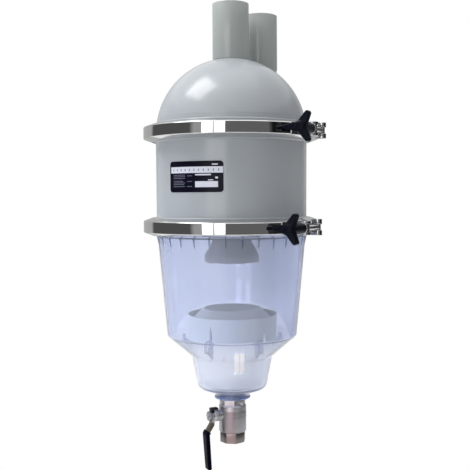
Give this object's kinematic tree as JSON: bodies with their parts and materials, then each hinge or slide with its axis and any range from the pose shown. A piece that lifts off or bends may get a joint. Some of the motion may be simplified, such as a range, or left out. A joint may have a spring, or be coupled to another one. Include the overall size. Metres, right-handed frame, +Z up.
{
  "type": "cyclone separator",
  "caption": "Centrifugal pre-filter with a domed top, two pipe stubs, clamp bands with knobs, a clear bowl and a drain ball valve.",
  "frame": {"origin": "centre of the top end of the middle pipe stub, by which the separator hangs in its pipework", "axes": "+Z up along the vessel axis and out of the middle pipe stub; the label and the clear view are on the -Y side"},
  "size_m": [0.2949, 0.3096, 0.7636],
  "materials": {
    "pipe_plastic": "semi-gloss light grey",
    "body_plastic": "semi-gloss light grey",
    "inner_plastic": "satin pale grey",
    "clear_plastic": "clear with a faint blue tint",
    "seal_rubber": "matt black",
    "seat_plastic": "white",
    "plated_brass": "nickel plated",
    "lever_steel": "zinc plated",
    "grip_vinyl": "navy dipped vinyl",
    "label_film": "black printed film",
    "sticker_paper": "white",
    "band_steel": "polished stainless",
    "bolt_steel": "stainless",
    "knob_plastic": "black"
  },
  "bodies": {
    "separator": {"outlet_pipe": "pipe_plastic", "inlet_pipe": "pipe_plastic", "dome": "body_plastic", "upper_seal": "seal_rubber", "body_shell": "body_plastic", "lower_seal": "seal_rubber", "bowl": "clear_plastic", "vortex_tube": "inner_plastic", "vortex_cone": "inner_plastic", "collector_cup": "inner_plastic", "collector_cone": "inner_plastic", "valve_body": "plated_brass", "valve_end": "plated_brass", "seat_upper": "seat_plastic", "seat_lower": "seat_plastic", "packing_nut": "plated_brass", "rating_label": "label_film", "bowl_sticker": "sticker_paper", "upper_band": "band_steel", "upper_t_loop": "band_steel", "upper_trunnion_loop": "band_steel", "upper_t_bolt": "bolt_steel", "upper_trunnion": "bolt_steel", "upper_washer": "bolt_steel", "lower_band": "band_steel", "lower_t_loop": "band_steel", "lower_trunnion_loop": "band_steel", "lower_t_bolt": "bolt_steel", "lower_trunnion": "bolt_steel", "lower_washer": "bolt_steel"},
    "valve_lever": {"valve_ball": "lever_steel", "valve_stem": "lever_steel", "lever_arm": "lever_steel", "lever_sleeve": "grip_vinyl", "lever_nut": "lever_steel"},
    "upper_knob": {"upper_knob": "knob_plastic"},
    "lower_knob": {"lower_knob": "knob_plastic"}
  },
  "joints": [
    {"name": "valve_lever_turn", "type": "hinge", "parent": "separator", "child": "valve_lever", "pos_m": [0, 0, -0.677], "axis": [-0.9063, -0.4226, 0], "range_deg": [0, 90]},
    {"name": "upper_knob_turn", "type": "hinge", "parent": "separator", "child": "upper_knob", "pos_m": [0.13928, -0.06914, -0.2145], "axis": [0.4446, 0.8957, 0], "continuous": true},
    {"name": "lower_knob_turn", "type": "hinge", "parent": "separator", "child": "lower_knob", "pos_m": [0.12892, -0.08695, -0.3664], "axis": [0.5592, 0.829, 0], "continuous": true}
  ]
}
